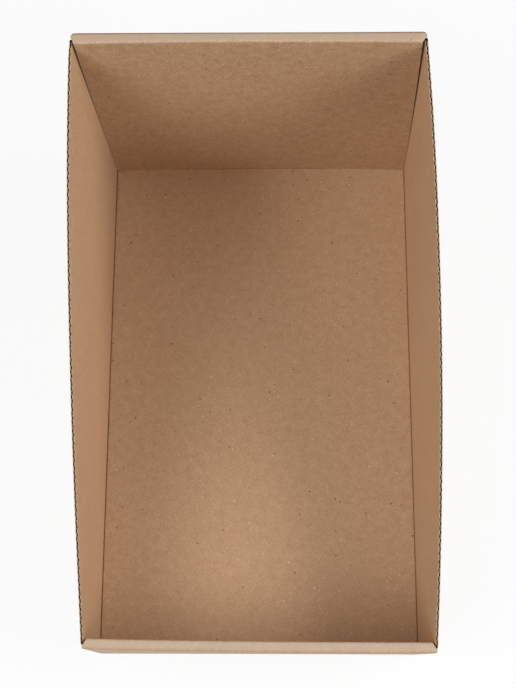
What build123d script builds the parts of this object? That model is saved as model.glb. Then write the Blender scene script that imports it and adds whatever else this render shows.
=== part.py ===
"""One-piece corrugated storage box: a die-cut sheet folded into an open bin, tall at the back.

+Z is up and +Y points to the tall back wall. The origin is the centre of the base's underside.
The flutes of the board run across the blank, so they stand upright in the side walls and lie level
in the base and the end walls, and they show as open mouths on the cut edges.
"""
import os
from math import atan2, cos, degrees

from build123d import *

# Driving dimensions, in millimetres
outside_width = 270.0     # over the side walls, at the base
outside_length = 446.0    # over the two rolled end walls
back_height = 238.0       # underside to rim at the tall end
front_height = 105.0      # underside to rim at the low end
board = 2.6               # thickness of the corrugated board
ply_gap = 0.2             # air between folded layers
fold_radius = 1.8         # outside radius of the folds round the base and at the corners
rim_radius = 1.3          # outside radius of the two folds along a rolled rim
left_bow = 5.3            # how far the left wall's top edge springs out at mid-length
right_bow = 6.8           # and the right wall's
back_lean = -4.8          # sideways spring of the back rim, towards +X
front_lean = 2.2          # and of the front rim
end_inset = 2.4           # the outer end panels stop this far inside the side walls' outer faces
rim_inset = 0.6           # the rims reach further out, almost over the side walls' outer faces
rim_corner = 3.0          # a rim is widest this far inside its outer fold
low_slit = 0.5            # slit between an inner end panel and the side wall, at the floor
high_slit = 1.4           # the same slit at the rim
tab_length = 80.0         # corner tabs, hidden inside the rolled end walls
tab_taper = 8.0           # how much lower a corner tab is at its free end, top and bottom
tab_drop = 1.2            # a corner tab stops this far under the side wall's edge
lock_width = 124.0        # lock tab at the foot of an inner end panel
slot_end_gap = 3.0        # the slot in the floor is longer than the lock tab by this at each end
slot_clearance = 0.5      # free space in front of and behind the lock tab
crease_width = 1.0        # pressed groove along the inside of a side fold
flute_pitch = 6.1         # from one flute of the board to the next
liner = 0.4               # flat paper on each face of the board
medium = 0.3              # wavy paper between the liners
flute_depth = 3.0         # how far the open flutes are modelled below a cut edge

# Sizes worked out from the driving dimensions
half_width = outside_width / 2
half_length = outside_length / 2
inner_half = half_width - board
end_half = half_width - end_inset
rim_half = half_width - rim_inset
rim_width = 3 * board + 2 * ply_gap
roll_face = half_length - rim_width
wall_end = half_length - board - ply_gap
panel_foot = board + ply_gap
back_edge = back_height - board - ply_gap
front_edge = front_height - board - ply_gap
edge_slope = atan2(back_edge - front_edge, 2 * wall_end)
edge_reach = wall_end / cos(edge_slope)
edge_plane = Plane((0, 0, (back_edge + front_edge) / 2)).rotated((degrees(edge_slope), 0, 0))
waste_half = half_width + board + max(abs(back_lean), abs(front_lean))
ends = ((1, back_height, back_edge, back_lean), (-1, front_height, front_edge, front_lean))
sides = (1, -1)


def flute_places(edge, pitch):
    """Where open flutes sit along a cut edge, each turned about from the last."""
    steps = int(2 * edge.length / pitch)
    places = []
    for step in range(1, steps - 1):
        along = (step + 0.5) / steps
        heading = edge % along
        turn = degrees(atan2(heading.Y, heading.X)) + 180 * (step % 2)
        places.append(Location(edge @ along, (0, 0, turn)))
    return places


def flute_mouth(stretch):
    """The open end of one flute: flat along a liner, with its point towards the other liner."""
    half_mouth = stretch * (flute_pitch - 3 * medium) / 2
    flat_side = board / 2 - liner
    point = flat_side - (board - 2 * liner - medium)
    Polygon((half_mouth, flat_side), (-half_mouth, flat_side), (0, point), align=None)


def rolled_end(facing, height):
    """Section points of one rolled end wall, from the base's outside corner round to its inside."""
    points = [
        (half_length, 0),
        (half_length, height),
        (roll_face, height),
        (roll_face, panel_foot),
        (roll_face + board, panel_foot),
        (roll_face + board, height - board),
        (half_length - board, height - board),
        (half_length - board, board),
    ]
    return [(facing * y, z) for y, z in points]


def panel_scrap(middle, foot, top, foot_half, top_half, lean):
    """What is cut off both sides of an upright end panel whose middle plane is at y = middle."""
    with BuildSketch(Plane.XZ.offset(-middle)) as scrap:
        for side in sides:
            with BuildLine():
                Polyline(
                    (side * foot_half, foot),
                    (side * waste_half, foot),
                    (side * waste_half, top),
                    (side * top_half + lean, top),
                    close=True,
                )
            make_face()
    return scrap.sketch


# The long strip of the sheet: base, outer end panels, rims and inner end panels
strip_outline = rolled_end(1, back_height) + rolled_end(-1, front_height)[::-1]
end_radii = [fold_radius, rim_radius, rim_radius] + [0] * 5
with BuildPart() as strip:
    with BuildSketch(Plane.YZ):
        with BuildLine():
            FilletPolyline(*strip_outline, radius=end_radii + end_radii[::-1], close=True)
        make_face()
    extrude(amount=waste_half - board / 2, both=True)
    # the base stops at the side folds
    with BuildSketch(Plane.XY):
        with Locations((inner_half + waste_half, 0), (-inner_half - waste_half, 0)):
            Rectangle(2 * waste_half, 2 * (half_length - board))
    extrude(amount=board, mode=Mode.SUBTRACT)
    for facing, height, edge, lean in ends:
        outer_middle = facing * (half_length - board / 2)
        inner_middle = facing * (roll_face + board / 2)
        inner_top_half = inner_half - high_slit
        outer_scrap = panel_scrap(outer_middle, 0, height - board, end_half, end_half, lean)
        inner_scrap = panel_scrap(
            inner_middle, board, height - board, inner_half - low_slit, inner_top_half, lean
        )
        for scrap in (outer_scrap, inner_scrap):
            extrude(scrap, amount=(board + ply_gap) / 2, both=True, mode=Mode.SUBTRACT)
        # seen from above, a rim widens from its inner fold, then turns in to the outer panel
        with BuildSketch(Plane.XY.offset(height - board)):
            for side in sides:
                with BuildLine():
                    Polyline(
                        (side * inner_top_half + lean, facing * (roll_face - board)),
                        (side * inner_top_half + lean, facing * roll_face),
                        (side * rim_half + lean, facing * (half_length - rim_corner)),
                        (side * end_half + lean, facing * half_length),
                        (side * end_half + lean, facing * (half_length + board)),
                        (side * waste_half, facing * (half_length + board)),
                        (side * waste_half, facing * (roll_face - board)),
                        close=True,
                    )
                make_face()
        extrude(amount=2 * board, mode=Mode.SUBTRACT)
        # open flutes up the outer panel's side edges
        edge_places = flute_places(Edge.make_line((0, 0), (height - board, 0)), flute_pitch)
        for side in sides:
            edge_foot = (side * end_half, outer_middle, 0)
            with BuildSketch(Plane(edge_foot, (lean, 0, height), (side * height, 0, -side * lean))):
                with Locations(*edge_places):
                    flute_mouth(1)
            extrude(amount=-flute_depth, mode=Mode.SUBTRACT)
        # slot in the floor, and the inner panel's lock tab standing in it
        with BuildSketch(Plane.XY):
            with Locations((0, inner_middle)):
                Rectangle(lock_width + 2 * slot_end_gap, board + 2 * slot_clearance)
        extrude(amount=board, mode=Mode.SUBTRACT)
        with BuildSketch(Plane.XY.offset(ply_gap)):
            with Locations((0, inner_middle)):
                Rectangle(lock_width, board)
        extrude(amount=panel_foot)


def distance_out(vertex):
    """How far a corner lies from the box's middle plane."""
    return abs(vertex.X)


def top_arc(side, bow, half):
    """The bowed line of a side wall's top edge at a given half width, on the sloping edge plane."""
    middle = side * (half + bow) + (back_lean + front_lean) / 2
    return ThreePointArc(
        (side * half + front_lean, -edge_reach),
        (middle, 0),
        (side * half + back_lean, edge_reach),
    )


def side_wall(side, bow):
    """One side wall with its base fold and two corner tabs; its top edge bows out by bow."""
    edge_stretch = 1 / cos(edge_slope)
    edge_middle = top_arc(side, bow, half_width - board / 2)
    with BuildPart() as wall:
        with BuildSketch(Plane.XY.offset(board)) as foot:
            with BuildLine():
                Polyline(
                    (side * half_width, -wall_end),
                    (side * half_width, wall_end),
                    (side * inner_half, wall_end),
                    (side * inner_half, -wall_end),
                    close=True,
                )
            make_face()
            fillet(foot.vertices().sort_by(distance_out)[-2:], radius=fold_radius)
        with BuildSketch(edge_plane) as top_edge:
            with BuildLine():
                outer = top_arc(side, bow, half_width)
                inner = top_arc(side, bow, inner_half)
                Line(outer @ 0, inner @ 0)
                Line(outer @ 1, inner @ 1)
            make_face()
            corners = [top_edge.vertices().sort_by_distance(outer @ end)[0] for end in (0, 1)]
            fillet(corners, radius=fold_radius)
        loft(ruled=True)
        # the fold that joins the wall to the base
        with BuildSketch(Plane.XZ):
            with BuildLine():
                FilletPolyline(
                    (side * inner_half, 0),
                    (side * half_width, 0),
                    (side * half_width, board),
                    (side * inner_half, board),
                    radius=[0, fold_radius, 0, 0],
                    close=True,
                )
            make_face()
        extrude(amount=wall_end, both=True)
        # corner tabs, each rooted in the wall's own thickness
        for facing, height, edge, lean in ends:
            root = side * (inner_half + board / 2)
            free_end = side * (inner_half - tab_length)
            with BuildSketch(Plane.XZ.offset(-facing * (wall_end - board / 2))):
                with BuildLine():
                    Polyline(
                        (root, panel_foot),
                        (root + lean, edge - tab_drop),
                        (free_end + lean, edge - tab_drop - tab_taper),
                        (free_end, panel_foot + tab_taper),
                        close=True,
                    )
                make_face()
            extrude(amount=board / 2, both=True)
        # open flutes along the sloping cut edge
        with BuildSketch(edge_plane):
            with Locations(*flute_places(edge_middle, flute_pitch * edge_stretch)):
                flute_mouth(edge_stretch)
        extrude(amount=flute_depth, dir=(0, 0, -1), mode=Mode.SUBTRACT)
    return wall.part


# The whole folded sheet
with BuildPart() as folded_box:
    add(strip.part)
    add(side_wall(1, right_bow))
    add(side_wall(-1, left_bow))
    with BuildSketch(Plane.XZ):
        with Locations((inner_half, board), (-inner_half, board)):
            Circle(crease_width / 2)
    extrude(amount=roll_face, both=True, mode=Mode.SUBTRACT)

folded_box.part.label = "folded_box"
os.makedirs("parts", exist_ok=True)
export_step(folded_box.part, "parts/folded_box.step")
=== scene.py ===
# %% [markdown]
# # A storage box folded from one sheet of corrugated board
#
# This lesson dresses an open cardboard bin, tall at the back and low at the front. The real box is cut
# from a single flat sheet: the side walls fold up from the base, and each end wall rolls over its own
# corner tabs and locks into a slot in the floor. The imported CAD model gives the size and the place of
# everything, so the first step is to load it as a fixed frame and to note its box before anything
# changes.

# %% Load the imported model
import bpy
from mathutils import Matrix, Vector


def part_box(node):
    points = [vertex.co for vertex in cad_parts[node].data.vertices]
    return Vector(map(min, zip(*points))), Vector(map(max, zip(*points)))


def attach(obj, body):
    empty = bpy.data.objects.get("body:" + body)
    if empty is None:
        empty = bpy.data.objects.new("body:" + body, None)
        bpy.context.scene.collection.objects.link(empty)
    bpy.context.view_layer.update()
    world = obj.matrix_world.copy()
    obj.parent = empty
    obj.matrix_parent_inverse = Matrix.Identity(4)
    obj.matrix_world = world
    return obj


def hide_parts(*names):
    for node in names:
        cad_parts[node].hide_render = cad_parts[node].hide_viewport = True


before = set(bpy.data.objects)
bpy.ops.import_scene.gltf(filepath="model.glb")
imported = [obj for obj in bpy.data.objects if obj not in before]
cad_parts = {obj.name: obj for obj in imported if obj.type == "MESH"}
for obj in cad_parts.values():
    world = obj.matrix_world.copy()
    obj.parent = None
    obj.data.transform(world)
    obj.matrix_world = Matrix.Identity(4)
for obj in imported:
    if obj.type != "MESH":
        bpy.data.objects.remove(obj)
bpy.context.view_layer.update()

# %% Modules for the lesson
import math
from collections import namedtuple

import bmesh
import bpy
from mathutils import Vector, noise

scene = bpy.context.scene
scene.view_settings.view_transform = "Standard"
print("view transform:", scene.view_settings.view_transform)

# %% [markdown]
# ## The camera
#
# The box is seen from above, from a little way in front of it, so all four walls spread outwards from
# the floor. A camera could be placed by eye, but the folds and corners of the box are enough to work
# out where the lens stood. The numbers below come from such a fit. With no turn at all a Blender camera
# looks straight down with +Y at the top of the picture, so the three small turns say how far this one
# differs from that.

# %% Place the camera
photo_height = 688                      # pixels
focal_length = 1279.31                  # pixels
camera_data = bpy.data.cameras.new("photo_camera")
camera_data.sensor_fit = "VERTICAL"
camera_data.sensor_height = 36.0
camera_data.lens = camera_data.sensor_height * focal_length / photo_height
camera = bpy.data.objects.new("photo_camera", camera_data)
scene.collection.objects.link(camera)
camera.location = (0.02097, -0.26329, 1.09508)
camera.rotation_euler = [math.radians(turn) for turn in (15.865, 1.119, 0.217)]
scene.camera = camera
print("lens, in millimetres:", round(camera_data.lens, 2))

# %% [markdown]
# ## The sizes of the folded sheet
#
# Everything is in metres here, as in the CAD frame. The length and the tall end's height are read from
# the frame, and most of the others repeat the CAD source. The board is two flat papers, the liners, with
# a wavy paper, the medium, glued between them. The liners are thinner here than in the solid, so that a
# cut edge looks as fine as paper.

# %% Name the sizes
mm = 0.001
high_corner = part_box("folded_box")[1]
half_length = high_corner[1]
back_height = high_corner[2]
front_height = 105 * mm
half_width = 135 * mm
board = 2.6 * mm
liner = 0.25 * mm
medium = 0.30 * mm
ply_gap = 0.2 * mm
inner_half = half_width - board
rim_width = 3 * board + 2 * ply_gap
roll_face = half_length - rim_width     # face of an inner end panel, measured from the middle
wall_end = half_length - board - ply_gap
panel_foot = board + ply_gap
back_lean = -4.8 * mm                   # sideways spring of the two rims
front_lean = 2.2 * mm
hair = 1e-6                             # places closer than this count as one
print("half length and height:", round(half_length, 4), round(back_height, 4))

# %% [markdown]
# ## Board that has been handled
#
# Cardboard is never quite flat. A smooth noise field moves every point a fraction of a millimetre, and
# more towards the tops of the walls, where nothing holds them. The end walls have given way as well: the
# inner back panel is pressed back in the middle, both rims are slightly twisted, and the front wall's
# foot stands inside its rim. All this could be drawn panel by panel, but one function that moves every
# point is simpler. Because it is smooth, both faces of the board move together and the thickness stays
# even. Blender starts this noise from the clock unless it is given a seed, so the seed is fixed here and
# the box comes out the same at every run.

# %% Let the walls wander
wander = 0.25 * mm
wander_scale = 8.0                      # waves for each metre
wander_seed = 50
noise.seed_set(wander_seed)
held_height = 90 * mm                   # below this height the base holds the walls back
back_bulge = 1.0 * mm                   # an end panel's sides stay this far behind its middle
foot_bulge = 2.2 * mm                   # and at the foot of the inner back panel
front_bulge = 0.8 * mm
bulge_share = 0.45                      # of the bulge, this much is outwards in the middle
back_twist = 0.35 * mm                  # a rim's left end stands this far out, and its right end in
front_twist = -1.3 * mm
front_tuck = 2.5 * mm                   # the front wall's foot stands this far inside its rim


def settled(place):
    """Where a point of the flat-sided box ends up after some handling."""
    freedom = min(place.z / held_height, 1.0)
    drift = noise.noise_vector(place * wander_scale)
    across = place.x / half_width
    near_back = max(0.0, place.y / half_length) ** 3
    near_front = max(0.0, -place.y / half_length) ** 3
    inside = min(1.0, max(0.0, (half_length - place.y) / rim_width))
    climb = place.z / back_height
    rise = place.z / front_height
    arch = bulge_share - across ** 2
    bulge = foot_bulge + (back_bulge - foot_bulge) * climb
    spring = near_back * (inside * bulge * arch - climb * back_twist * across)
    spring -= near_front * rise * (front_bulge * arch - front_twist * across)
    spring += near_front * front_tuck * max(0.0, 1 - rise)
    return place + freedom * wander * drift + Vector((0.0, spring, 0.0))


rim_point = Vector((0.05, half_length, back_height))
print("a rim point moves by", round((settled(rim_point) - rim_point).length / mm, 2), "mm")

# %% [markdown]
# ## One mesh for the whole sheet
#
# The real box is one piece of board, so it is one mesh here too. It could be modelled as boxes joined
# together, but then the folds would be hard corners and the paper's pattern would break at each of
# them. Instead every point is made in a pair, one on the outer liner and one on the inner liner, and
# it remembers where it lay on the flat blank. The paper's grain is drawn in those flat coordinates, so
# it runs on over every fold, as on the real thing.

# %% Start the sheet
sheet = bmesh.new()
blank_layer = sheet.verts.layers.float_vector.new("blank")
# crease says how much painted shade a point gets in a fold, a groove, a bend or a cut channel
crease_layer = sheet.verts.layers.float.new("crease")
raw_layer = sheet.verts.layers.float.new("raw")
# a painted highlight that makes the rims paler
rim_highlight_layer = sheet.verts.layers.float.new("rubbed")
face_shift = 0.05                       # keeps the grain of the two faces apart
Pair = namedtuple("Pair", "outer inner")


def mix(start, end, share):
    """A number or point between two others."""
    return start + (end - start) * share


def spaced(start, end, longest):
    """Evenly spread numbers from start to end, no further apart than longest."""
    count = max(1, math.ceil(abs(end - start) / longest - hair))
    return [mix(start, end, step / count) for step in range(count + 1)]


def board_point(place, flat, crease=0.0, raw=0.0, rubbed=0.0):
    """A mesh point that knows its place on the flat blank, how much painted shade it gets in a fold or
    channel, whether it is cut, and how much painted rim highlight it gets.
    """
    point = sheet.verts.new(settled(place))
    point[blank_layer] = flat
    point[crease_layer] = crease
    point[raw_layer] = raw
    point[rim_highlight_layer] = rubbed
    return point


def board_pair(outer, inner, flat, crease=0.0, raw=0.0, rubbed=0.0):
    """The two points of the board at one place of the blank. Only the outer face gets the painted rim
    highlight.
    """
    return Pair(
        board_point(outer, (flat[0], flat[1], 0.0), crease, raw, rubbed),
        board_point(inner, (flat[0], flat[1], face_shift), crease, raw),
    )


def skin(net, left_out=()):
    """Covers both faces of a net of pairs, apart from the cells that are left out."""
    for row, (near, far) in enumerate(zip(net, net[1:])):
        for column in range(len(near) - 1):
            if (row, column) in left_out:
                continue
            corners = (near[column], near[column + 1], far[column + 1], far[column])
            sheet.faces.new([pair.outer for pair in corners])
            sheet.faces.new([pair.inner for pair in reversed(corners)])


print("layers on the sheet:", blank_layer.name, crease_layer.name, raw_layer.name)

# %% [markdown]
# ## Cut edges
#
# A cut through corrugated board shows the two liners as thin lips. Where the cut crosses the flutes,
# the space between the lips is open, and the wavy medium shows in it. The knife presses the board
# together as it goes through, so beside an open cut both faces come in a little. Where the cut runs
# along the flutes the board is crushed shut. So an edge is closed in three strips, lip, middle and lip,
# and on an open edge the middle strip becomes a deep channel instead. Its lips are pale, and just below
# them the liners get painted shade, as dark as the shade in the mouths of the flutes.

# %% A helper for cut edges
channel_depth = 8 * mm
crushed_depth = 2 * mm                  # where the board is crushed in a bend
edge_pinch = 0.36 * mm                  # how far each face is pressed in at an open cut
pinch_reach = 3.0 * mm                  # and how far from the cut that begins
shoulder_share = 0.03                   # of the depth, the cut's own pale lip goes down this far
channel_shade_mark = 4.0                       # marks painted shade on the liners inside the board, below the lip


def pinched(outer, inner, share):
    """The places of a pair after some share of the knife's pinch."""
    squeeze = share * edge_pinch / (outer - inner).length
    return mix(outer, inner, squeeze), mix(inner, outer, squeeze)


def lip_points(pair):
    """Two points between the faces of the board, at the inner sides of the liners."""
    points = []
    lip_share = liner / (pair.outer.co - pair.inner.co).length
    for share in (lip_share, 1 - lip_share):
        point = sheet.verts.new(mix(pair.outer.co, pair.inner.co, share))
        point[blank_layer] = mix(pair.outer[blank_layer], pair.inner[blank_layer], share)
        point[crease_layer] = pair.outer[crease_layer]
        point[raw_layer] = 1.0
        point[rim_highlight_layer] = pair.outer[rim_highlight_layer]
        points.append(point)
    return points


def band(near, far):
    """One face between two short lines of two points."""
    sheet.faces.new((near[0], far[0], far[1], near[1]))


def cut_edge(pairs, channel=None):
    """Closes the board along a line of pairs. A channel gives the places of its floor, pair by pair."""
    lips = [lip_points(pair) for pair in pairs]
    rims = [(pair.outer, lip[0]) for pair, lip in zip(pairs, lips)]
    inner_rims = [(lip[1], pair.inner) for pair, lip in zip(pairs, lips)]
    for line in (rims, inner_rims):
        for near, far in zip(line, line[1:]):
            band(near, far)
    if channel is None:
        for near, far in zip(lips, lips[1:]):
            band(near, far)
        return
    shoulders, floors = [], []
    for lip, places in zip(lips, channel):
        deep_places = [settled(place) for place in places]
        high_places = [mix(above.co, deep, shoulder_share) for above, deep in zip(lip, deep_places)]
        for line, line_places in ((shoulders, high_places), (floors, deep_places)):
            line.append([sheet.verts.new(place) for place in line_places])
            for point, above in zip(line[-1], lip):
                point[blank_layer] = above[blank_layer]
                # marks the channel for painted shade
                point[crease_layer] = channel_shade_mark
    for upper, lower in ((lips, shoulders), (shoulders, floors)):
        for place in range(len(lips) - 1):
            band((upper[place][0], lower[place][0]), (upper[place + 1][0], lower[place + 1][0]))
            band((lower[place][1], upper[place][1]), (lower[place + 1][1], upper[place + 1][1]))
        for end in (0, -1):
            sheet.faces.new((upper[end][0], upper[end][1], lower[end][1], lower[end][0]))
    for near, far in zip(floors, floors[1:]):
        band(near, far)


print("lips of", round(liner / mm, 2), "mm with a channel", round(channel_depth / mm, 1), "mm deep")

# %% [markdown]
# ## The long strip: base, end walls and rolled rims
#
# Follow the sheet from the middle of the base to one end. It folds up into the outer end panel, folds
# over at the top to make the rim, and folds down again into the inner panel, which stands on the floor.
# That is one section, drawn here as rows of paired points, and repeated across the width of the box. A
# fold in corrugated board is round outside and pinched inside, so the two faces get different radii, and
# the folds of a rim are the roundest. The tabs inside the back wall push its outer panel out a little at
# the top.

# %% Draw the section of a rolled end wall
fold_radius = 1.8 * mm
rim_radii = 2.4 * mm, 1.8 * mm          # of a rim's outer and inner fold
back_swell = 0.7 * mm                   # the tabs inside push the back panel's top out this far
pinch_radius = 0.3 * mm
fold_steps = 6
row_step = 9 * mm
rim_step = 1.1 * mm
fold_margin = 1.2 * mm                  # a row this close to each fold keeps the flats flat
Row = namedtuple("Row", "outer inner half slope crease open rubbed pinch")


def quarter_turn(centre, radius, start, steps=fold_steps):
    """Points of a quarter circle from the angle start, in degrees."""
    points = []
    for step in range(steps + 1):
        angle = math.radians(start + 90 * step / steps)
        points.append(Vector(centre) + radius * Vector((math.cos(angle), math.sin(angle))))
    return points


def fold_pairs(corner, inwards, radius, start):
    """Paired points round a fold, round outside and pinched inside. inwards is +1 or -1 each way."""
    pinch = board + pinch_radius
    outer_centre = [at + way * radius for at, way in zip(corner, inwards)]
    inner_centre = [at + way * pinch for at, way in zip(corner, inwards)]
    outer = quarter_turn(outer_centre, radius, start)
    return list(zip(outer, quarter_turn(inner_centre, pinch_radius, start)))


def flat_stretch(start, end, longest):
    """Paired points on the flat between two folds, without the folds' own points."""
    length = (end[0] - start[0]).length
    marks = spaced(fold_margin, length - fold_margin, longest)
    return [(mix(start[0], end[0], at / length), mix(start[1], end[1], at / length)) for at in marks]


def end_section(height, swell):
    """The paired points of one end wall, out and up, in stretches from the base fold to the foot."""
    outer_radius, inner_radius = rim_radii
    base_fold = fold_pairs((half_length, 0.0), (-1, 1), fold_radius, -90)
    rim_fold = fold_pairs((half_length + swell, height), (-1, -1), outer_radius, 0)
    inner_fold = fold_pairs((roll_face, height), (1, -1), inner_radius, 90)
    foot = (Vector((roll_face, panel_foot)), Vector((roll_face + board, panel_foot)))
    outer_panel = flat_stretch(base_fold[-1], rim_fold[0], row_step)
    rim = flat_stretch(rim_fold[-1], inner_fold[0], rim_step)
    inner_panel = flat_stretch(inner_fold[-1], foot, row_step) + [foot]
    return base_fold, outer_panel, rim_fold, rim, inner_fold, inner_panel


back_section = end_section(back_height, back_swell)
front_section = end_section(front_height, 0.0)
print("stretches of the back end:", [len(stretch) for stretch in back_section])

# %% [markdown]
# Seen from above, a rim is widest a little way inside its outer fold, and it narrows towards the inner
# panel, which is cut short to slip between the side walls. The slit beside that panel is narrow at the
# floor and opens in a curve towards the rim, and it shows as a dark line in the picture. Both ends of
# the box lean sideways a little, so a row's place shifts with its height. The values that differ between
# the two ends are kept together in one record for each.

# %% Turn the section into rows
End = namedtuple("End", "facing height lean inner_lean fold_half rim_half rim_corner wear")
back_end = End(
    facing=1,
    height=back_height,
    lean=back_lean,
    inner_lean=-5.4 * mm,               # the inner back panel leans a little further
    fold_half=half_width - 2.6 * mm,    # half width at the outer fold of the rim
    rim_half=half_width - 1.15 * mm,    # and where the rim is widest
    rim_corner=3.0 * mm,                # which is this far inside the outer fold
    wear=2.2,                           # how much painted shade darkens the outer fold
)
front_end = End(
    facing=-1,
    height=front_height,
    lean=front_lean,
    inner_lean=front_lean,
    fold_half=half_width - 1.3 * mm,
    rim_half=half_width - 0.6 * mm,
    rim_corner=2.0 * mm,
    # a little painted shade on the front rim's outer fold
    wear=0.3,
)
end_half = half_width - 2.4 * mm        # half width of an outer panel at its foot
low_half = inner_half - 0.1 * mm        # half width of an inner panel at the floor
high_half = inner_half - 1.7 * mm       # and at the rim
slit_curve = 2.2                        # above 1 the slit opens mostly near the rim


def row_half(out, up, end):
    """Half the width of the strip at a place of the end section."""
    if out < roll_face + hair:
        rise = max(0.0, (up - panel_foot) / (end.height - panel_foot))
        return mix(low_half, high_half, rise ** slit_curve)
    if up < end.height - rim_radii[0] - hair:
        return mix(end_half, end.fold_half, up / end.height)
    inside = max(0.0, half_length - out)
    if inside < end.rim_corner:
        return mix(end.fold_half, end.rim_half, inside / end.rim_corner)
    return mix(end.rim_half, high_half, (inside - end.rim_corner) / (rim_width - end.rim_corner))


def end_rows(section, end):
    """All rows of one end wall, from the base fold to the foot of the inner panel."""
    rows = []
    for stretch, points in enumerate(section):
        for place, (outer, inner) in enumerate(points):
            turn = place / fold_steps
            # painted shade in the base fold
            base_crease = math.sin(math.pi * turn)
            # painted shade on the rim's outer fold
            rim_shade = end.wear * math.sin(math.pi * turn ** 2)
            crease = (base_crease, 0.0, rim_shade, 0.0, 0.0, 0.0)[stretch]
            is_open = stretch in (1, 2, 3)
            # painted highlight, from the rim's outer fold over the rim to its inner fold
            rubbed = (0.0, 0.0, turn, 1.0, 1 - turn, 0.0)[stretch]
            pinch = (turn, 1.0, 1.0, 1.0, 1 - turn, 0.0)[stretch]
            half = row_half(outer.x, outer.y, end)
            inside = min(1.0, max(0.0, (half_length - outer.x) / rim_width))
            slope = mix(end.lean, end.inner_lean, inside ** 2) / end.height
            ends = (end.facing * outer.x, outer.y), (end.facing * inner.x, inner.y)
            rows.append(Row(*ends, half, slope, crease, is_open, rubbed, pinch))
    return rows


back_rows = end_rows(back_section, back_end)
front_rows = end_rows(front_section, front_end)
print("rows in the back and front ends:", len(back_rows), len(front_rows))

# %% [markdown]
# The base joins the side folds along most of its length. Near each end it has a slot, a little longer
# and wider than the lock tab that stands in it. The rows of the base are placed so that both the slot
# and the ends of the side folds fall on a row.

# %% Rows of the base, and the whole strip
slot_gap = 0.25 * mm
slot_near = roll_face - slot_gap
slot_far = roll_face + board + slot_gap
fold_stop = 1.0 * mm                    # the side folds end this far before a slot's far edge
side_run = slot_far - fold_stop
groove_reach = 1.1 * mm                 # a side fold begins this far inside the wall's face
base_half = inner_half - groove_reach
edge_margin = 6 * mm                    # lines of points keep this far from an edge or a slot
inside_lines = spaced(-slot_near + edge_margin, slot_near - edge_margin, row_step)
side_lines = [-side_run, -slot_near] + inside_lines + [slot_near, side_run]
base_rows = []
for y in [-slot_far] + side_lines + [slot_far]:
    half = base_half if abs(y) <= side_run else end_half
    base_rows.append(Row((y, 0.0), (y, board), half, 0.0, 0.0, False, 0.0, 0.0))
strip_rows = front_rows[::-1] + base_rows + back_rows
first_base = len(front_rows)
print("rows in the strip:", len(strip_rows))

# %% [markdown]
# Now the rows become points. The columns are the same for every row, apart from the last few at the
# sides, which follow the row's own width. The distance along the flat blank is measured along the
# middle of the board, from the middle of the base.

# %% Make the strip
lock_half = 62 * mm
slot_half = 65 * mm
column_step = 9 * mm
plain_half = 119 * mm


def column_places(half):
    """Places across the strip, from left to right."""
    right = spaced(0.0, lock_half, column_step)[1:]
    right += spaced(slot_half, plain_half, column_step)
    right += [half - edge_margin, half - pinch_reach, half - pinch_reach / 2, half]
    return [-x for x in reversed(right)] + [0.0] + right


def strip_place(row, point, x):
    """A place in space on a row of the strip."""
    return Vector((x + row.slope * point[1], point[0], point[1]))


middles = [(Vector(row.outer) + Vector(row.inner)) / 2 for row in strip_rows]
flat_lengths = [0.0]
for near, far in zip(middles, middles[1:]):
    flat_lengths.append(flat_lengths[-1] + (far - near).length)
base_start = flat_lengths[first_base] - strip_rows[first_base].outer[0]
flat_lengths = [length - base_start for length in flat_lengths]

strip_net = []
for row, along in zip(strip_rows, flat_lengths):
    places = column_places(row.half)
    line = []
    for x in places:
        is_edge = abs(x) == row.half and row.half != base_half
        nearness = max(0.0, 1 - (row.half - abs(x)) / pinch_reach)
        ends = strip_place(row, row.outer, x), strip_place(row, row.inner, x)
        outer, inner = pinched(*ends, row.pinch * nearness ** 2)
        line.append(board_pair(outer, inner, (x, along), row.crease, float(is_edge), row.rubbed))
    strip_net.append(line)
columns = column_places(half_width)
last_column = len(columns) - 1
print("strip of", len(strip_net), "rows and", len(columns), "columns")

# %% Leave out the slots and cover the strip
slot_first = columns.index(-slot_half)
slot_last = columns.index(slot_half)
base_last = first_base + len(base_rows) - 1
slot_rows = {"front": (first_base, first_base + 2), "back": (base_last - 2, base_last)}
slot_cells = set()
for first, last in slot_rows.values():
    for row in range(first, last):
        slot_cells.update((row, column) for column in range(slot_first, slot_last))
skin(strip_net, slot_cells)
for first, last in slot_rows.values():
    loop = [strip_net[first][column] for column in range(slot_first, slot_last + 1)]
    loop += [strip_net[row][slot_last] for row in range(first + 1, last + 1)]
    loop += [strip_net[last][column] for column in range(slot_last - 1, slot_first - 1, -1)]
    loop += [strip_net[row][slot_first] for row in range(last - 1, first - 1, -1)]
    for near, far in zip(loop, loop[1:]):
        band(near, far)
print("cells left out for the two slots:", len(slot_cells))

# %% [markdown]
# Each inner panel ends in a lock tab, a little tongue that drops into its slot and keeps the rolled wall
# shut. It is one more row of cells under the panel's foot, and the cut edge goes round it in one line.

# %% Add the lock tabs
lock_first = columns.index(-lock_half)
lock_last = columns.index(lock_half)
for foot_row, facing in ((0, -1), (len(strip_net) - 1, 1)):
    foot = strip_net[foot_row]
    along = flat_lengths[foot_row] + facing * (panel_foot - ply_gap)
    tongue = []
    for x in columns[lock_first:lock_last + 1]:
        outer = Vector((x, facing * roll_face, ply_gap))
        inner = Vector((x, facing * (roll_face + board), ply_gap))
        tongue.append(board_pair(outer, inner, (x, along), 0.0, 1.0))
    skin([foot[lock_first:lock_last + 1], tongue])
    cut_edge(foot[:lock_first + 1] + tongue + foot[lock_last:])
print("lock tabs", round(2 * lock_half / mm), "mm wide")

# %% [markdown]
# The flutes run across the strip, so its long side edges cut straight through them. On the outer panels
# and rims they stay open. The inner panels' edges are pressed against the side walls, and the folds at
# the base are crushed, so those parts are closed. The open edges are noted for the medium.

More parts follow.
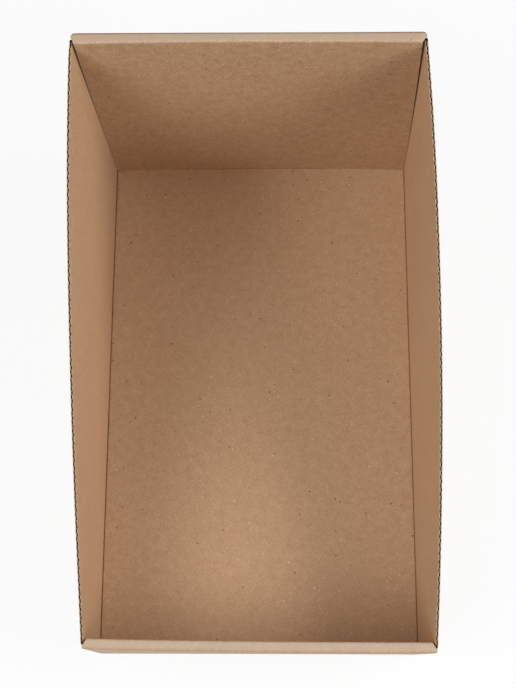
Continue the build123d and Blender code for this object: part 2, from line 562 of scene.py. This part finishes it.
# %% Close the strip's side edges
FluteEdge = namedtuple("FluteEdge", "points across inward along")
flute_edges = []
floor_shares = liner / board, 1 - liner / board


def strip_channel(rows, side):
    """Places of the channel's floor along an open side edge of the strip."""
    floors = []
    for row in rows:
        x = side * (row.half - channel_depth)
        ends = strip_place(row, row.outer, x), strip_place(row, row.inner, x)
        floors.append([mix(*ends, share) for share in floor_shares])
    return floors


def note_flutes(pairs, inward, along):
    """Notes an open edge for the medium: its middle line and the ways across and into the board."""
    points = [(pair.outer.co + pair.inner.co) / 2 for pair in pairs]
    across = [(pair.outer.co - pair.inner.co).normalized() for pair in pairs]
    flute_edges.append(FluteEdge(points, across, inward, along))


strip_ends = ((0, first_base + 1), (base_last - 1, len(strip_rows) - 1))
for side, column in ((-1, 0), (1, last_column)):
    for first, last in strip_ends:
        start = first
        while start < last:
            is_open = strip_rows[start].open and strip_rows[start + 1].open
            stop = start + 1
            while stop < last and (strip_rows[stop].open and strip_rows[stop + 1].open) == is_open:
                stop += 1
            rows = strip_rows[start:stop + 1]
            pairs = [strip_net[row][column] for row in range(start, stop + 1)]
            cut_edge(pairs, strip_channel(rows, side) if is_open else None)
            if is_open:
                inward = [Vector((-side, 0.0, 0.0))] * len(pairs)
                note_flutes(pairs, inward, flat_lengths[start:stop + 1])
            start = stop
print("open edges on the end walls:", len(flute_edges))

# %% [markdown]
# ## The side walls
#
# A side wall folds up from the base, and at each end it turns a corner into a tab that hides inside the
# rolled end wall. Its top edge slopes from the tall back to the low front. Nothing holds that edge in
# the middle, so it bows outwards, on the left mostly towards the back, and the tabs draw the back
# corners in again. All of that fades to nothing at the base. The wall is one net of pairs from tab to
# tab, and one function bends every point of it.

# %% Bend a side wall
back_edge = back_height - board - ply_gap
front_edge = front_height - board - ply_gap
bows = {1: 6.7 * mm, -1: 4.3 * mm}      # right wall, left wall
spreads = {1: 0.1 * mm, -1: 0.6 * mm}   # how far a wall's top corners spring out past the rims' line
skews = {1: 0.0, -1: 0.35}              # the left wall bows most towards the back
pulls = {1: 0.6 * mm, -1: 1.0 * mm}     # how far the tab draws a wall's back corner in again
pull_reaches = {1: 100 * mm, -1: 14 * mm}


def edge_height(y):
    """Height of a side wall's sloping top edge."""
    return mix(front_edge, back_edge, (y + wall_end) / (2 * wall_end))


def wall_place(side, x, y, z):
    """A place on a side wall after it has bowed out and leaned."""
    rise = max(0.0, (z - board) / (edge_height(y) - board))
    reach = y / wall_end
    bow = spreads[side] + bows[side] * (1 - reach ** 2) * (1 + skews[side] * reach)
    bow -= pulls[side] * max(0.0, 1 - (wall_end - y) / pull_reaches[side]) ** 2
    lean = mix(front_lean, back_lean, (y + wall_end) / (2 * wall_end))
    return Vector((side * x + rise * (side * bow + lean), y, z))


print("top edge at the back, middle and front:", [round(edge_height(y) / mm) for y in (0.22, 0, -0.22)])

# %% Plan of a wall with its corner tabs
tab_length = 80 * mm
tab_end = inner_half - tab_length
tab_taper = 8 * mm
tab_drop = 1.2 * mm
groove_rise = 1.2 * mm                  # a side wall's flat begins this far above the floor
wall_foot = board + groove_rise
Post = namedtuple("Post", "outer inner foot top along")


def corner_posts(facing):
    """Upright lines of the corner bend and tab at one end, from the wall outwards."""
    edge = edge_height(facing * wall_end)
    bend = fold_pairs((half_width, wall_end), (-1, -1), fold_radius, 0)
    free_end = (Vector((tab_end, wall_end)), Vector((tab_end, wall_end - board)))
    posts = []
    middle = Vector((half_width - board / 2, side_run))
    along = side_run
    plan = bend + flat_stretch(bend[-1], free_end, 2 * row_step) + [free_end]
    for place, (outer, inner) in enumerate(plan):
        reach = max(0.0, (half_width - fold_radius - outer.x) / (half_width - fold_radius - tab_end))
        drop = tab_drop * min(1.0, place / fold_steps) + tab_taper * reach
        along += ((outer + inner) / 2 - middle).length
        middle = (outer + inner) / 2
        foot = wall_foot + tab_taper * reach
        places = [Vector((point.x, facing * point.y)) for point in (outer, inner)]
        posts.append(Post(*places, foot, edge - drop, facing * along))
    return posts


wall_posts = []
for y in reversed(side_lines):
    outer = Vector((half_width, y))
    inner = Vector((inner_half, y))
    wall_posts.append(Post(outer, inner, wall_foot, edge_height(y), y))
posts = corner_posts(1)[::-1] + wall_posts + corner_posts(-1)
first_wall = len(corner_posts(1))
last_wall = first_wall + len(wall_posts) - 1
first_open = first_wall - fold_steps - 1
last_open = last_wall + fold_steps + 1
print("upright lines in a side wall with its tabs:", len(posts))

# %% Make both side walls
level_count = 14
foot_margin = 2 * mm
bend_shade = 2.0                       # painted shade that darkens the corner bends and the tabs


def post_levels(post):
    """Heights of the points on an upright line, closer together at the foot and under the top edge."""
    low = post.foot + foot_margin
    high = post.top - edge_margin
    levels = [mix(low, high, step / level_count) for step in range(level_count + 1)]
    return [post.foot] + levels + [post.top - pinch_reach, post.top - pinch_reach / 2, post.top]


def wall_net(side):
    """The net of pairs of one side wall and its tabs."""
    net = []
    for post in posts:
        line = []
        levels = post_levels(post)
        # painted shade on the corner bends and the tabs
        bend_shade_level = 0.0 if abs(post.outer.y) <= side_run else bend_shade
        for level, z in enumerate(levels):
            ends = [wall_place(side, point.x, point.y, z) for point in (post.outer, post.inner)]
            nearness = max(0.0, 1 - (post.top - z) / pinch_reach)
            outer, inner = pinched(*ends, nearness ** 2)
            flat = (side * (inner_half + z), post.along)
            line.append(board_pair(outer, inner, flat, bend_shade_level, float(level == len(levels) - 1)))
        net.append(line)
    return net


wall_nets = {side: wall_net(side) for side in (1, -1)}
for net in wall_nets.values():
    skin(net)
print("points in a side wall:", 2 * len(posts) * len(wall_nets[1][0]))

# %% [markdown]
# The fold between the base and a side wall is rounded outside. Inside, the inner liner buckles into the
# board and leaves a fine groove, which with painted shade in it is the dark line along both sides of the
# floor. The groove is drawn as a short section. It starts and ends on the edges of the base and of the
# wall.

# %% Fold the walls up from the base
groove_plan = (                         # millimetres out from and above the inside corner, and how much painted shade
    (-1.1, 0.0, 0.0), (-0.85, -0.02, 0.2), (-0.55, -0.3, 0.6), (-0.2, -0.7, 1.0), (0.25, -0.9, 1.0),
    (0.45, -0.5, 1.0), (0.3, 0.15, 0.6), (0.08, 0.7, 0.2), (0.0, 1.2, 0.0),
)
flat_before = 1.0 * mm                  # the outside stays flat this far before its round fold
flat_after = 0.2 * mm                   # and is flat again this far above the board's thickness
round_steps = 4
round_outside = [Vector((base_half, 0.0)), Vector((base_half + flat_before, 0.0))]
round_outside += quarter_turn((half_width - fold_radius, fold_radius), fold_radius, -90, round_steps)
round_outside += [Vector((half_width, board + flat_after)), Vector((half_width, wall_foot))]
for side in (1, -1):
    fold_net = []
    for y in reversed(side_lines):
        line = []
        for outside, (out, up, dark) in zip(round_outside, groove_plan):
            inside = Vector((inner_half + out * mm, board + up * mm))
            outer = wall_place(side, outside.x, y, outside.y)
            inner = wall_place(side, inside.x, y, inside.y)
            flat = (side * (inside.x + max(0.0, up * mm)), y)
            line.append(board_pair(outer, inner, flat, dark))
        fold_net.append(line)
    skin(fold_net)
    for line in (fold_net[0], fold_net[-1]):
        cut_edge(line)
print("groove", len(groove_plan), "points across")

# %% [markdown]
# The sloping top edge of each side wall crosses the flutes, which stand upright there, so it stays open
# from rim to rim. In the corner bends the flutes are crushed, and only a shallow notch, darkened by
# painted shade, is left. The tabs' own edges are out of sight and are closed.

# %% Cut the side walls' edges


def wall_channel(side, wall):
    """Places of the channel's floor under a side wall's top edge."""
    floors = []
    for post in wall:
        z = post.top - (channel_depth if abs(post.outer.y) <= side_run else crushed_depth)
        ends = [wall_place(side, point.x, point.y, z) for point in (post.outer, post.inner)]
        floors.append([mix(*ends, share) for share in floor_shares])
    return floors


for side, net in wall_nets.items():
    tops = [line[-1] for line in net]
    feet = [line[0] for line in net]
    floors = wall_channel(side, posts[first_open:last_open + 1])
    cut_edge(tops[first_open:last_open + 1], floors)
    cut_edge(tops[:first_open + 1])
    cut_edge(tops[last_open:])
    cut_edge(feet[:first_wall + 1])
    cut_edge(feet[last_wall:])
    for free_end in (net[0], net[-1]):
        cut_edge(free_end)
    wall_tops = tops[first_wall:last_wall + 1]
    inward = []
    for pair, (outer, inner) in zip(wall_tops, floors[first_wall - first_open:]):
        inward.append((outer + inner - pair.outer.co - pair.inner.co).normalized())
    note_flutes(wall_tops, inward, [post.along for post in posts[first_wall:last_wall + 1]])
print("open edges in all:", len(flute_edges))

# %% [markdown]
# The nets meet at shared places, so merging the doubles turns them into one closed skin. After that the
# normals can be turned outwards in one go. Flat panels are shaded smooth together with their rounded
# folds, and only the corners of cut edges stay sharp.

# %% Finish the sheet as a piece
sharp_angle = 40                        # degrees
bmesh.ops.remove_doubles(sheet, verts=sheet.verts, dist=hair)
bmesh.ops.recalc_face_normals(sheet, faces=sheet.faces)
open_seams = sum(1 for edge in sheet.edges if len(edge.link_faces) != 2)
sheet_mesh = bpy.data.meshes.new("folded_sheet")
sheet.to_mesh(sheet_mesh)
sheet.free()
sheet_mesh.shade_smooth()
sheet_mesh.set_sharp_from_angle(angle=math.radians(sharp_angle))
folded_sheet = bpy.data.objects.new("folded_sheet", sheet_mesh)
scene.collection.objects.link(folded_sheet)
print("faces in the sheet:", len(sheet_mesh.polygons), "with", open_seams, "open seams")

# %% [markdown]
# ## Nodes for a finish
#
# Every finish here is drawn by shader nodes, with no pictures. This small helper adds a node, sets its
# settings, and fills its inputs: a number or a colour is set on the socket, and an output of another
# node is linked to it.

# %% A helper for nodes


def add_node(tree, kind, inputs=None, **settings):
    """A new node with its settings and inputs filled in."""
    made = tree.nodes.new(kind)
    for name, value in settings.items():
        setattr(made, name, value)
    for name, value in (inputs or {}).items():
        if isinstance(value, bpy.types.NodeSocket):
            tree.links.new(value, made.inputs[name])
        else:
            made.inputs[name].default_value = value
    return made


def math_node(tree, operation, first, second=0.0):
    """The result of one calculation with two numbers or sockets."""
    return add_node(tree, "ShaderNodeMath", {0: first, 1: second}, operation=operation).outputs[0]


def blend_colours(tree, share, first, second, kind="MIX"):
    """The colour between two others."""
    made = add_node(
        tree, "ShaderNodeMix", {0: share, 6: first, 7: second}, data_type="RGBA", blend_type=kind
    )
    return made.outputs[2]


def carried_factor(tree, name):
    """A number from 0 up that the points of a mesh carry under a name."""
    return add_node(tree, "ShaderNodeAttribute", attribute_name=name).outputs["Fac"]


def new_finish(name):
    """An empty node material."""
    finish = bpy.data.materials.new(name)
    finish.use_nodes = True
    finish.node_tree.nodes.clear()
    return finish, finish.node_tree


print("node helpers ready")

# %% [markdown]
# ## Kraft paper
#
# The liners are brown kraft paper: long wood fibres, mostly laid one way, with small dark and pale
# specks of bark and unbleached pulp, and soft clouds of lighter and darker paper. The pattern reads the
# blank's flat coordinates, which every point of the sheet carries. Noise at three scales makes the
# clouds and the grain, stretched noise makes the fibres, and the cells of a Voronoi pattern carry the
# specks: a random number in each cell says how large its speck is, and most cells have none. The outer
# liner, which the rolled walls turn inside, is the more mottled of the two. Rims get a paler painted
# highlight, folds, bends and the insides of cut edges get painted shade, and cut lips are paler again.

# %% Patterns for paper
speck_sharpness = 20.0
noise_roughness = 0.55


def noise_at(tree, place, scale, detail, roughness=noise_roughness):
    """Noise of about so many blobs for each metre, from 0 to 1."""
    inputs = {"Vector": place, "Scale": scale, "Detail": detail, "Roughness": roughness}
    return add_node(tree, "ShaderNodeTexNoise", inputs).outputs[0]


def tinted(tree, value, strength):
    """A factor of 1 plus strength times how far the noise is from its middle."""
    centred = math_node(tree, "SUBTRACT", value, 0.5)
    scaled = math_node(tree, "MULTIPLY", centred, strength)
    return math_node(tree, "ADD", scaled, 1.0)


def turned(tree, place, degrees, scale):
    """The blank's coordinates turned and stretched."""
    inputs = {"Vector": place, "Rotation": (0.0, 0.0, math.radians(degrees)), "Scale": scale}
    return add_node(tree, "ShaderNodeMapping", inputs).outputs[0]


def specks(tree, place, cells, fewest, largest):
    """A mask of small specks, with so many cells for each metre, most of them empty."""
    inputs = {"Vector": place, "Scale": cells}
    cell = add_node(tree, "ShaderNodeTexVoronoi", inputs, voronoi_dimensions="2D")
    drawn = add_node(tree, "ShaderNodeSeparateColor", {0: cell.outputs["Color"]}).outputs[0]
    sizes = {"Value": drawn, "From Min": fewest, "From Max": 1.0, "To Min": 0.0, "To Max": largest}
    size = add_node(tree, "ShaderNodeMapRange", sizes).outputs[0]
    inside = math_node(tree, "SUBTRACT", size, cell.outputs["Distance"])
    sharpened = math_node(tree, "MULTIPLY", inside, speck_sharpness)
    return add_node(tree, "ShaderNodeClamp", {"Value": sharpened}).outputs[0]


print("patterns ready for specks and fibres")

# %% Mottle the kraft paper
paper_layers = {                        # blobs for each metre, detail, roughness, strength
    "clouds": (14.0, 4.0, noise_roughness, 0.12),
    "formation": (140.0, 4.0, 0.6, 0.32),
    "grain": (900.0, 2.0, noise_roughness, 0.38),
    "fibres_one": (1300.0, 1.0, noise_roughness, 0.30),
    "fibres_two": (1200.0, 1.0, noise_roughness, 0.34),
}
fibre_turns = {                         # degrees, and the stretch each way
    "fibres_one": (18, (1.0, 0.3, 1.0)),
    "fibres_two": (-24, (0.35, 1.0, 1.0)),
}
outer_mottle = 1.5                      # how much more mottled the outer liner is than the inner one
green_depth = 1.3                       # dark paper is redder, because green and blue fall faster
blue_depth = 1.7
paper_colour = (0.52, 0.332, 0.197)
kraft, tree = new_finish("kraft_board")
blank = add_node(tree, "ShaderNodeAttribute", attribute_name="blank").outputs["Vector"]
layers = {}
tints = []
for name, (scale, detail, roughness, strength) in paper_layers.items():
    place = turned(tree, blank, *fibre_turns[name]) if name in fibre_turns else blank
    layers[name] = noise_at(tree, place, scale, detail, roughness)
    tints.append(tinted(tree, layers[name], strength))
shade = tints[0]
for tint in tints[1:]:
    shade = math_node(tree, "MULTIPLY", shade, tint)
flat_parts = add_node(tree, "ShaderNodeSeparateXYZ", {0: blank}).outputs
evened = math_node(tree, "MULTIPLY", flat_parts[2], (outer_mottle - 1) / face_shift)
shade = math_node(tree, "POWER", shade, math_node(tree, "SUBTRACT", outer_mottle, evened))
green_shade = math_node(tree, "POWER", shade, green_depth)
blue_shade = math_node(tree, "POWER", shade, blue_depth)
shades = add_node(tree, "ShaderNodeCombineXYZ", {0: shade, 1: green_shade, 2: blue_shade}).outputs[0]
paper = add_node(tree, "ShaderNodeVectorMath", {0: paper_colour, 1: shades}, operation="MULTIPLY")
print("layers in the paper:", list(layers))

# %% Add specks, a painted rim highlight, painted shade and cut lips
speck_cells = 230.0                     # for each metre
pale_speck_turn = 40                    # degrees, so that the two kinds don't fall together
lip_sharpness = 6.0
dark_speck_colour = (0.16, 0.09, 0.05, 1.0)
pale_speck_colour = (0.80, 0.68, 0.53, 1.0)
# colour of the painted highlight on the rims
rim_highlight_colour = (0.485, 0.378, 0.29, 1.0)
# colour of the painted shade in folds, grooves and bends
crease_shade_colour = (0.34, 0.21, 0.12, 1.0)
# colour of the painted shade inside the cut channels
channel_shade_colour = (0.12, 0.058, 0.026, 1.0)
cut_colour = (0.46, 0.33, 0.23, 1.0)
crease = carried_factor(tree, "crease")
dark_specks = specks(tree, blank, speck_cells, fewest=0.955, largest=0.22)
pale_place = turned(tree, blank, pale_speck_turn, (1.0, 1.0, 1.0))
pale_specks = specks(tree, pale_place, speck_cells, fewest=0.925, largest=0.18)
lip = math_node(tree, "POWER", carried_factor(tree, "raw"), lip_sharpness)
# painted shade below the lips, inside the channels
deepness = math_node(tree, "SUBTRACT", crease, channel_shade_mark - 1)
channel_shade = add_node(tree, "ShaderNodeClamp", {"Value": deepness}).outputs[0]
colour = paper.outputs[0]
finish_marks = (                        # mask, strength, colour
    (dark_specks, 0.85, dark_speck_colour),
    (pale_specks, 0.6, pale_speck_colour),
    # painted highlight on the rims
    (carried_factor(tree, "rubbed"), 0.7, rim_highlight_colour),
    # painted shade in folds, grooves and bends
    (crease, 0.35, crease_shade_colour),
    # painted shade inside the cut channels
    (channel_shade, 1.0, channel_shade_colour),
    (lip, 0.5, cut_colour),
)
for mask, strength, tint in finish_marks:
    colour = blend_colours(tree, math_node(tree, "MULTIPLY", mask, strength), colour, tint)
print("nodes in the paper so far:", len(tree.nodes))

# %% [markdown]
# Paper scatters light with hardly any gloss, so it is rough, a little less so where the fibres are
# pressed flat, and folds are quite matte. Its relief is a fine tooth, and very faintly the flutes show
# through the liner as even ridges. Both are too small for geometry and go into a bump.

# %% Give the paper its tooth
flute_pitch = 6.1 * mm
formation_relief = 1.5                  # against the grain's own relief of 1
ridge_relief = 0.10
crease_roughness = 0.95
flute_angle = math_node(tree, "MULTIPLY", flat_parts[1], 2 * math.pi / flute_pitch)
ridges = math_node(tree, "SINE", flute_angle)
tooth = math_node(tree, "ADD", layers["grain"], layers["fibres_two"])
clumps = math_node(tree, "MULTIPLY", layers["formation"], formation_relief)
tooth = math_node(tree, "ADD", tooth, clumps)
relief = math_node(tree, "ADD", tooth, math_node(tree, "MULTIPLY", ridges, ridge_relief))
bump = add_node(tree, "ShaderNodeBump", {"Height": relief, "Strength": 0.7, "Distance": 0.22 * mm})
gloss = {
    "Value": layers["formation"], "From Min": 0.3, "From Max": 0.7, "To Min": 0.38, "To Max": 0.50
}
roughness = add_node(tree, "ShaderNodeMapRange", gloss).outputs[0]
roughness = math_node(tree, "MAXIMUM", roughness, math_node(tree, "MINIMUM", crease, crease_roughness))
surface = add_node(
    tree,
    "ShaderNodeBsdfPrincipled",
    {
        "Base Color": colour,
        "Roughness": roughness,
        "Normal": bump.outputs[0],
        "Specular IOR Level": 0.2,
    },
)
add_node(tree, "ShaderNodeOutputMaterial", {"Surface": surface.outputs[0]})
sheet_mesh.materials.append(kraft)
print("nodes in the paper:", len(tree.nodes))

# %% [markdown]
# The medium between the liners is a coarser, browner paper. It is only seen in the open edges, so a
# simple grain in object coordinates is enough. Its cut line is as pale as the lips of the liners, and
# the attribute `cut`, which the next step stores on the ribbon, says where that line is.

# %% Paint the medium
medium_colour = (0.15, 0.072, 0.033)
medium_cut_colour = (0.60, 0.42, 0.29, 1.0)
medium_grain = 700.0                    # blobs for each metre
medium_mottle = 0.5
cut_sharpness = 24.0                    # keeps the pale cut line narrow
medium_finish, tree = new_finish("fluted_medium")
place = add_node(tree, "ShaderNodeTexCoord").outputs["Object"]
coarse = noise_at(tree, place, medium_grain, 3.0)
shade = tinted(tree, coarse, medium_mottle)
paper = add_node(tree, "ShaderNodeVectorMath", {0: medium_colour, "Scale": shade}, operation="SCALE")
bump = add_node(tree, "ShaderNodeBump", {"Height": coarse, "Strength": 0.3, "Distance": 0.1 * mm})
cut_line = math_node(tree, "POWER", carried_factor(tree, "cut"), cut_sharpness)
colour = blend_colours(tree, cut_line, paper.outputs[0], medium_cut_colour)
surface = add_node(
    tree,
    "ShaderNodeBsdfPrincipled",
    {"Base Color": colour, "Normal": bump.outputs[0], "Roughness": 0.95, "Specular IOR Level": 0.1},
)
add_node(tree, "ShaderNodeOutputMaterial", {"Surface": surface.outputs[0]})
print("nodes in the medium:", len(tree.nodes))

# %% [markdown]
# ## The fluted medium
#
# Along every open edge the medium shows as a wave that touches one liner and then the other, with a
# dark mouth between each two crests. That is a shape which follows a path by a rule, so Geometry Nodes
# make it. The input is a mesh of plain lines, one for each open edge, whose points carry the direction
# across the board, the direction into the board and the place on the blank. The tree turns the lines
# into curves, divides them finely and swings them from side to side with a sine of the place on the
# blank, whose crests are flattened as the knife crushes them. It pulls the wave inwards into a ribbon
# and gives the ribbon a paper's thickness. The lines end before the corner bends, where the flutes are
# crushed.

# %% Lines for the medium to follow
cut_depth = 0.08 * mm                   # the medium's edge lies this far below the lips
edge_lines = bpy.data.meshes.new("flute_lines")
line_points, line_links = [], []
for edge in flute_edges:
    first = len(line_points)
    line_points += [point + cut_depth * into for point, into in zip(edge.points, edge.inward)]
    line_links += [(place, place + 1) for place in range(first, len(line_points) - 1)]
edge_lines.from_pydata(line_points, line_links, [])
for name, kind in (("across", "FLOAT_VECTOR"), ("inward", "FLOAT_VECTOR"), ("along", "FLOAT")):
    layer = edge_lines.attributes.new(name, kind, "POINT")
    values = [value for edge in flute_edges for value in getattr(edge, name)]
    for item, value in zip(layer.data, values):
        if kind == "FLOAT":
            item.value = value
        else:
            item.vector = value
print("lines for the medium:", len(flute_edges), "with", len(line_points), "points")

# %% Build the tree for the medium
flutes = bpy.data.node_groups.new("fluted_medium", "GeometryNodeTree")
flutes.interface.new_socket("Geometry", in_out="INPUT", socket_type="NodeSocketGeometry")
flutes.interface.new_socket("Geometry", in_out="OUTPUT", socket_type="NodeSocketGeometry")
flute_inputs = {}
for name in ("Pitch", "Swing", "Crush", "Depth", "Paper", "Step"):
    flute_inputs[name] = flutes.interface.new_socket(name, in_out="INPUT", socket_type="NodeSocketFloat")
flute_inputs["Finish"] = flutes.interface.new_socket(
    "Finish", in_out="INPUT", socket_type="NodeSocketMaterial"
)


def carried(name, kind):
    """Reads an attribute that the lines carry."""
    return add_node(flutes, "GeometryNodeInputNamedAttribute", {"Name": name}, data_type=kind).outputs[0]


given = add_node(flutes, "NodeGroupInput").outputs
curve = add_node(flutes, "GeometryNodeMeshToCurve", {0: given["Geometry"]})
fine = add_node(
    flutes,
    "GeometryNodeResampleCurve",
    {"Curve": curve.outputs[0], "Length": given["Step"]},
    mode="LENGTH",
)
turns = math_node(flutes, "DIVIDE", carried("along", "FLOAT"), given["Pitch"])
wave = math_node(flutes, "SINE", math_node(flutes, "MULTIPLY", turns, 2 * math.pi))
steep = math_node(flutes, "MULTIPLY", wave, given["Crush"])
steep_square = math_node(flutes, "MULTIPLY", steep, steep)
softened = math_node(flutes, "SQRT", math_node(flutes, "ADD", steep_square, 1.0))
swing = math_node(flutes, "MULTIPLY", math_node(flutes, "DIVIDE", steep, softened), given["Swing"])
sway = add_node(
    flutes,
    "ShaderNodeVectorMath",
    {0: carried("across", "FLOAT_VECTOR"), "Scale": swing},
    operation="SCALE",
)
swung = add_node(
    flutes, "GeometryNodeSetPosition", {"Geometry": fine.outputs[0], "Offset": sway.outputs[0]}
)
line = add_node(flutes, "GeometryNodeCurveToMesh", {"Curve": swung.outputs[0]})
cut_line = add_node(
    flutes,
    "GeometryNodeStoreNamedAttribute",
    {"Geometry": line.outputs[0], "Name": "cut", "Value": 1.0},
    data_type="FLOAT",
)
ribbon = add_node(
    flutes,
    "GeometryNodeExtrudeMesh",
    {
        "Mesh": cut_line.outputs[0],
        "Offset": carried("inward", "FLOAT_VECTOR"),
        "Offset Scale": given["Depth"],
    },
    mode="EDGES",
)
marked = add_node(
    flutes,
    "GeometryNodeStoreNamedAttribute",
    {"Geometry": ribbon.outputs[0], "Selection": ribbon.outputs["Top"], "Name": "cut", "Value": 0.0},
    data_type="FLOAT",
)
print("nodes in the medium's tree so far:", len(flutes.nodes))

# %% Give the ribbon its thickness
normal = add_node(flutes, "GeometryNodeInputNormal").outputs[0]
half_paper = math_node(flutes, "MULTIPLY", given["Paper"], -0.5)
set_back = add_node(flutes, "ShaderNodeVectorMath", {0: normal, "Scale": half_paper}, operation="SCALE")
lower = add_node(
    flutes, "GeometryNodeSetPosition", {"Geometry": marked.outputs[0], "Offset": set_back.outputs[0]}
)
thick = add_node(
    flutes,
    "GeometryNodeExtrudeMesh",
    {"Mesh": lower.outputs[0], "Offset Scale": given["Paper"], "Individual": False},
    mode="FACES",
)
underside = add_node(flutes, "GeometryNodeFlipFaces", {0: lower.outputs[0]})
both = add_node(flutes, "GeometryNodeJoinGeometry")
flutes.links.new(thick.outputs[0], both.inputs[0])
flutes.links.new(underside.outputs[0], both.inputs[0])
closed = add_node(flutes, "GeometryNodeMergeByDistance", {"Geometry": both.outputs[0], "Distance": hair})
real = add_node(flutes, "GeometryNodeRealizeInstances", {0: closed.outputs[0]})
finished = add_node(
    flutes, "GeometryNodeSetMaterial", {"Geometry": real.outputs[0], "Material": given["Finish"]}
)
add_node(flutes, "NodeGroupOutput", {0: finished.outputs[0]})
print("nodes in the medium's tree:", len(flutes.nodes))

# %% [markdown]
# The tree's inputs are set by their identifiers before the object is first evaluated. The result is then
# copied into a plain mesh, so no modifier is left on the piece.

# %% Run the tree and keep its mesh
steps_per_flute = 24
ribbon_sharp_angle = 50                 # degrees
flute_values = {
    "Pitch": flute_pitch,
    "Swing": (board - 2 * edge_pinch - 2 * liner - medium) / 2,
    "Crush": 4.0,
    "Depth": 7 * mm,
    "Paper": medium,
    "Step": flute_pitch / steps_per_flute,
    "Finish": medium_finish,
}
line_holder = bpy.data.objects.new("flute_lines", edge_lines)
scene.collection.objects.link(line_holder)
fluting = line_holder.modifiers.new("fluting", "NODES")
fluting.node_group = flutes
for name, value in flute_values.items():
    fluting[flute_inputs[name].identifier] = value
depsgraph = bpy.context.evaluated_depsgraph_get()
core_mesh = bpy.data.meshes.new_from_object(line_holder.evaluated_get(depsgraph))
core_mesh.name = "fluted_core"
line_holder.modifiers.remove(fluting)
bpy.data.objects.remove(line_holder)
core_mesh.shade_smooth()
core_mesh.set_sharp_from_angle(angle=math.radians(ribbon_sharp_angle))
fluted_core = bpy.data.objects.new("fluted_core", core_mesh)
scene.collection.objects.link(fluted_core)
print("faces in the medium:", len(core_mesh.polygons))

# %% [markdown]
# ## Floor and light
#
# The box stands on a plain white table between two softboxes, under a faint sky. A deep open box mostly
# lights itself: light falls in from above, bounces between the brown walls and grows warmer at every
# bounce, which is why its inside looks redder and darker than its rims. So the lamps and the sky are
# kept at the level where the rims show the paper's own colour, and the bounces do the rest. For the
# camera the floor is mostly its own white, so the background stays white while a shadow still shows.
# Under the box it stays plain, so that no white shines through the slots.

# %% Make the floor
floor_size = 8.0
floor_colour = (0.86, 0.86, 0.86, 1.0)
floor_whiteness = 0.88
white_colour = (1.0, 1.0, 1.0, 1.0)


def seen_by_eye(tree):
    """1 for rays that show a surface, straight or by gloss or through glass, and 0 for its light."""
    rays = add_node(tree, "ShaderNodeLightPath").outputs
    seen = math_node(tree, "MAXIMUM", rays["Is Camera Ray"], rays["Is Glossy Ray"])
    return math_node(tree, "MAXIMUM", seen, rays["Is Transmission Ray"])


floor_mesh = bpy.data.meshes.new("floor")
corners = [(x * floor_size, y * floor_size, 0.0) for x, y in ((-1, -1), (1, -1), (1, 1), (-1, 1))]
floor_mesh.from_pydata(corners, [], [(0, 1, 2, 3)])
table = bpy.data.objects.new("floor", floor_mesh)
scene.collection.objects.link(table)
floor_finish, tree = new_finish("pale_floor")
plain = add_node(tree, "ShaderNodeBsdfDiffuse", {"Color": floor_colour})
white = add_node(tree, "ShaderNodeEmission", {"Color": white_colour, "Strength": 1.0})
spot = add_node(tree, "ShaderNodeTexCoord").outputs["Object"]
spot = add_node(tree, "ShaderNodeSeparateXYZ", {0: spot}).outputs
beside = math_node(tree, "GREATER_THAN", math_node(tree, "ABSOLUTE", spot[0]), end_half)
beyond = math_node(tree, "GREATER_THAN", math_node(tree, "ABSOLUTE", spot[1]), wall_end)
outside = math_node(tree, "MAXIMUM", beside, beyond)
shown = math_node(tree, "MULTIPLY", seen_by_eye(tree), outside)
whiteness = math_node(tree, "MULTIPLY", shown, floor_whiteness)
mixed = add_node(tree, "ShaderNodeMixShader", {0: whiteness, 1: plain.outputs[0], 2: white.outputs[0]})
add_node(tree, "ShaderNodeOutputMaterial", {"Surface": mixed.outputs[0]})
floor_mesh.materials.append(floor_finish)
print("floor", 2 * floor_size, "m across")

# %% Light the box
sky_strength = 0.12
world = bpy.data.worlds.new("pale_sky")
scene.world = world
world.use_nodes = True
tree = world.node_tree
tree.nodes.clear()
sky_range = {"Value": seen_by_eye(tree), "To Min": sky_strength, "To Max": 1.0}
strength = add_node(tree, "ShaderNodeMapRange", sky_range).outputs[0]
sky = add_node(tree, "ShaderNodeBackground", {"Color": white_colour, "Strength": strength})
add_node(tree, "ShaderNodeOutputWorld", {"Surface": sky.outputs[0]})
print("sky strength:", sky_strength)

# %% Hang the lamps
lamp_plan = {                           # place, width, height, power in watts
    "left_softbox": ((-1.00, -0.46, 1.35), 1.5, 0.8, 21.1),
    "right_softbox": ((1.25, -0.15, 1.05), 1.2, 0.8, 22.4),
}
aim = Vector((0.0, 0.0, 0.05))
for name, (place, width, height, power) in lamp_plan.items():
    lamp_data = bpy.data.lights.new(name, "AREA")
    lamp_data.shape = "RECTANGLE"
    lamp_data.size = width
    lamp_data.size_y = height
    lamp_data.energy = power
    lamp = bpy.data.objects.new(name, lamp_data)
    scene.collection.objects.link(lamp)
    lamp.location = place
    lamp.rotation_euler = (aim - Vector(place)).to_track_quat("-Z", "Y").to_euler()
print("lamps:", list(lamp_plan))

# %% [markdown]
# ## Hand the pieces to the frame
#
# Both pieces belong to the one rigid body of the box. The sheet stands for the CAD solid, which is then
# hidden, and the medium goes with it.

# %% Ride and replace
for piece in (folded_sheet, fluted_core):
    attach(piece, "root")
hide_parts("folded_box")
